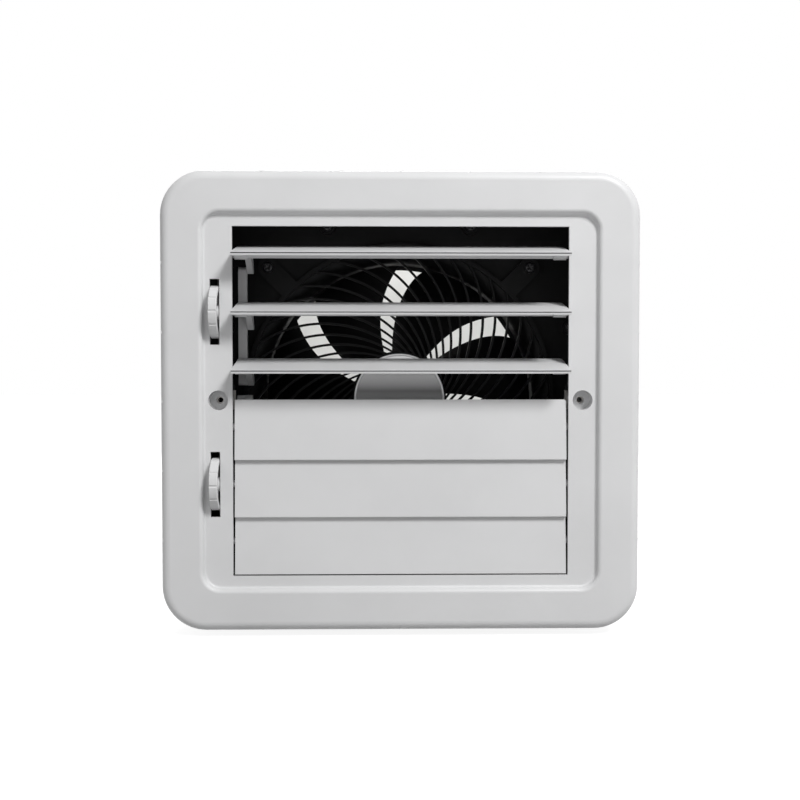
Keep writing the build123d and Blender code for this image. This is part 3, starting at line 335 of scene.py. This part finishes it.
def screw_set(name, node, slot, places, out, head_r, head_h, shank_r, length):
    """One mesh of pan-head screws; out points from the seat through the head."""
    out = Vector(out)
    side = Vector((0, 0, 1)).cross(out).normalized()
    up = out.cross(side)
    points, faces = [], []
    turns, rings, threads = 64, 14, 14
    neck_share, root_share, tip_share = 1.02, 0.86, 0.55
    turn_between = 0.7    # so that no two recesses line up
    for number, seat in enumerate(places):
        seat = Vector(seat)
        spin = turn_between * number
        base = len(points)
        points.append(seat + out * head_height(0, 0, head_r, head_h))
        for ring in range(1, rings + 1):
            radius = head_r * ring / rings
            for step in range(turns):
                turn = 2 * math.pi * step / turns
                way = side * math.cos(turn + spin) + up * math.sin(turn + spin)
                points.append(seat + way * radius
                              + out * head_height(radius, turn, head_r, head_h))
        profile = [(head_r, 0.0), (shank_r * neck_share, 0.0)]
        for k in range(threads + 1):
            depth = -length * (k + 0.5) / (threads + 1)
            profile.append((shank_r * (root_share if k % 2 else 1.0), depth))
        profile.append((shank_r * tip_share, -length))
        for radius, height in profile:
            for step in range(turns):
                turn = 2 * math.pi * step / turns
                way = side * math.cos(turn + spin) + up * math.sin(turn + spin)
                points.append(seat + way * radius + out * height)
        points.append(seat - out * length)
        tip = len(points) - 1
        for step in range(turns):
            after = (step + 1) % turns
            faces.append((base, base + 1 + step, base + 1 + after))
        loops = rings + len(profile)
        for ring in range(loops - 1):
            first = base + 1 + ring * turns
            for step in range(turns):
                after = (step + 1) % turns
                faces.append((first + step, first + turns + step,
                              first + turns + after, first + after))
        last = base + 1 + (loops - 1) * turns
        for step in range(turns):
            after = (step + 1) % turns
            faces.append((last + step, tip, last + after))
    obj = add_piece(name, "housing", slot, [tuple(p) for p in points], faces)
    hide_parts(node)
    for face in obj.data.polygons:
        face.use_smooth = True


def corners(across, y, up):
    return [(x * across, y, z * up) for x in (-1, 1) for z in (-1, 1)]


TO_ROOM, TO_ROOF = (0, -1, 0), (0, 1, 0)
plate_reach = 0.134
plate_seat_y = 0.0175
screw_set("fan_screw_set", "fan_screws", "motor_steel", corners(0.102, 0.015, 0.102),
          TO_ROOM, head_r=0.0042, head_h=0.0028, shank_r=0.0022, length=0.0089)
screw_set("plate_screw_set", "plate_screws", "motor_steel",
          corners(0.056, plate_seat_y, plate_reach) + corners(plate_reach, plate_seat_y, 0.056),
          TO_ROOM, head_r=0.0038, head_h=0.0024, shank_r=0.0019, length=0.0094)
post_x = 0.13025    # the rails' fixing posts
post_heights = [0.1056, 0.0230, -0.0183, -0.1009]
screw_set("rail_screw_set", "rail_screws", "zinc_steel",
          [(x * post_x, -0.0446, z) for x in (-1, 1) for z in post_heights],
          TO_ROOF, head_r=0.0027, head_h=0.0018, shank_r=0.0014, length=0.0063)
screw_set("cowl_screw_set", "cowl_screws", "zinc_steel", corners(0.131, 0.0854, 0.131),
          TO_ROOF, head_r=0.0039, head_h=0.0026, shank_r=0.0020, length=0.0145)


# Foam ring that closes the running gap between the fan and its plate

def lathe(name, body, slot, profile, turns=180):
    """A closed profile of (radius, y) turned about the fan's axis."""
    points, faces = [], []
    for step in range(turns):
        turn = 2 * math.pi * step / turns
        points += [(r * math.cos(turn), y, r * math.sin(turn)) for r, y in profile]
    count = len(profile)
    for step in range(turns):
        here, after = step * count, (step + 1) % turns * count
        for k in range(count):
            nxt = (k + 1) % count
            faces.append((here + k, after + k, after + nxt, here + nxt))
    add_piece(name, body, slot, points, faces)


ring_in, ring_out = 0.1195, 0.1221
ring_front, ring_back = 0.02155, 0.0238
lathe("plate_foam_ring", "housing", "foam_rubber",
      [(ring_in, ring_front), (ring_in, ring_back), (ring_out, ring_back),
       (ring_out, ring_front)])


# Beaded front edge, painted groove shadow and squared ends of each louvre

LOUVRE_PITCH = 0.0413
LOUVRE_WALL_AND_GAP = 0.0031
LOUVRE_LEAN = math.asin(LOUVRE_WALL_AND_GAP / LOUVRE_PITCH)
LOUVRE_OPEN = math.radians(79)
LOUVRE_HALF = 0.1195
UPPER_LOUVRES = 3
PIVOT_Y = -0.0475
PIVOTS_MIDDLE_Z = 0.00235


def louvre_point(height, lean, x, back, up):
    """A point given in one louvre's own section, back from and up its blade."""
    return (x, PIVOT_Y + back * math.cos(lean) + up * math.sin(lean),
            height - back * math.sin(lean) + up * math.cos(lean))


def prism(points, faces, outline, near, far):
    """Add a prism between two ends; outline gives each corner at one end."""
    base = len(points)
    count = len(outline)
    points += [near(c) for c in outline] + [far(c) for c in outline]
    faces.append(tuple(base + k for k in reversed(range(count))))
    faces.append(tuple(base + count + k for k in range(count)))
    for k in range(count):
        nxt = (k + 1) % count
        faces.append((base + k, base + nxt, base + count + nxt, base + count + k))


def louvre_trim(number, body):
    """The bead along one louvre's foot, a black strip beside it as a painted groove shadow, and
    its squared top corners.
    """
    lean = LOUVRE_OPEN if number < UPPER_LOUVRES else LOUVRE_LEAN
    height = PIVOTS_MIDDLE_Z + (UPPER_LOUVRES - 0.5 - number) * LOUVRE_PITCH
    half = LOUVRE_HALF
    front, back, foot, head = -0.0045, -0.0019, -0.024, 0.0194

    def place(x, b, u):
        return louvre_point(height, lean, x, b, u)

    parts = {"louvre_plastic": ([], []), "black_plastic": ([], [])}
    bead_end, shadow_strip_end = front + 0.0005, front + 0.0011
    proud = 0.00003
    strips = [("louvre_plastic", front, bead_end, foot, foot + 0.0007),
              # Painted shadow: this thin black strip beside the bead stands in for the shade
              # inside a groove.
              ("black_plastic", bead_end, shadow_strip_end, foot - proud, foot + 0.0002)]
    for slot, b0, b1, u0, u1 in strips:
        prism(*parts[slot], [(b0, u0), (b1, u0), (b1, u1), (b0, u1)],
              lambda c: place(-half, *c), lambda c: place(half, *c))
    cut, kept_cut = 0.004, 0.0014
    left = [(-half, head - cut), (-half + cut, head), (-half, head)]
    right = [(half, head - cut), (half, head - kept_cut), (half - kept_cut, head),
             (half - cut, head)]
    for outline in (left, right):
        prism(*parts["louvre_plastic"], outline,
              lambda c: place(c[0], front, c[1]), lambda c: place(c[0], back, c[1]))
    for slot, (points, faces) in parts.items():
        # The black strip pieces are painted groove shadows.
        name = f"louvre_{number + 1}_{'edge' if slot == 'louvre_plastic' else 'painted_groove_shadow'}"
        add_piece(name, body, slot, points, faces)


for number, body in enumerate(["upper_top_louvre", "upper_middle_louvre",
                               "upper_bottom_louvre", "lower_top_louvre",
                               "lower_middle_louvre", "lower_bottom_louvre"]):
    louvre_trim(number, body)


# Camera, fitted to the photograph

cam_data = bpy.data.cameras.new("camera")
cam_data.lens = 49.56
cam_data.sensor_width = 36.0
cam = bpy.data.objects.new("camera", cam_data)
bpy.context.collection.objects.link(cam)
cam.location = (-0.0159, -0.8444, 0.0276)
cam.rotation_euler = Vector((0.0192, 0.99926, -0.0334)).to_track_quat("-Z", "Y").to_euler()
bpy.context.scene.camera = cam


# Floor, world and lamps

def direct_view(tree):
    """1 for the rays that show the background itself, 0 for the rays that light."""
    path = tree.nodes.new("ShaderNodeLightPath")
    first = tree.nodes.new("ShaderNodeMath")
    first.operation = "MAXIMUM"
    tree.links.new(path.outputs["Is Camera Ray"], first.inputs[0])
    tree.links.new(path.outputs["Is Glossy Ray"], first.inputs[1])
    both = tree.nodes.new("ShaderNodeMath")
    both.operation = "MAXIMUM"
    tree.links.new(first.outputs["Value"], both.inputs[0])
    tree.links.new(path.outputs["Is Transmission Ray"], both.inputs[1])
    return both.outputs["Value"]


lowest = cad_box[0][2]
floor_mesh = bpy.data.meshes.new("floor")
floor_reach = 6
floor_corners = [(x * floor_reach, y * floor_reach, lowest)
                 for x, y in [(-1, -1), (1, -1), (1, 1), (-1, 1)]]
floor_mesh.from_pydata(floor_corners, [], [(0, 1, 2, 3)])
floor = bpy.data.objects.new("floor", floor_mesh)
bpy.context.collection.objects.link(floor)
floor_mat, floor_tree, floor_shader, _ = start("floor_paper")
floor_shader.inputs["Base Color"].default_value = (0.35, 0.35, 0.35, 1)
floor_shader.inputs["Roughness"].default_value = 0.9
floor_shader.inputs["Specular IOR Level"].default_value = 0.1
glow = floor_tree.nodes.new("ShaderNodeEmission")
level = floor_tree.nodes.new("ShaderNodeMath")
level.operation = "MULTIPLY"
floor_glow = 0.885
level.inputs[1].default_value = floor_glow
floor_tree.links.new(direct_view(floor_tree), level.inputs[0])
floor_tree.links.new(level.outputs["Value"], glow.inputs["Strength"])
total = floor_tree.nodes.new("ShaderNodeAddShader")
floor_tree.links.new(floor_shader.outputs["BSDF"], total.inputs[0])
floor_tree.links.new(glow.outputs["Emission"], total.inputs[1])
floor_out = floor_tree.nodes["Material Output"]
floor_tree.links.new(total.outputs["Shader"], floor_out.inputs["Surface"])
floor_mesh.materials.append(floor_mat)

world = bpy.data.worlds.new("studio")
bpy.context.scene.world = world
world.use_nodes = True
world_tree = world.node_tree
world_shade = world_tree.nodes["Background"]
world_shade.inputs["Color"].default_value = (1, 1, 1, 1)
strength = world_tree.nodes.new("ShaderNodeMapRange")
strength.inputs["To Min"].default_value = 0.34
strength.inputs["To Max"].default_value = 1.0
world_tree.links.new(direct_view(world_tree), strength.inputs["Value"])
world_tree.links.new(strength.outputs["Result"], world_shade.inputs["Strength"])


def lamp(name, place, aim, width, power):
    data = bpy.data.lights.new(name, "AREA")
    data.shape = "SQUARE"
    data.size = width
    data.energy = power
    obj = bpy.data.objects.new(name, data)
    bpy.context.collection.objects.link(obj)
    obj.location = place
    aim_way = Vector(aim) - Vector(place)
    obj.rotation_euler = aim_way.to_track_quat("-Z", "Y").to_euler()


lamp("key", (0.75, -1.15, 1.25), (0, -0.05, 0), 0.45, 30.0)
lamp("fill", (-1.3, -1.6, 0.3), (0, -0.05, 0), 1.2, 3.0)
lamp("sky", (0.1, 1.3, 0.5), (0, 0.08, 0), 1.0, 20.0)

bpy.context.scene.view_settings.view_transform = "Standard"
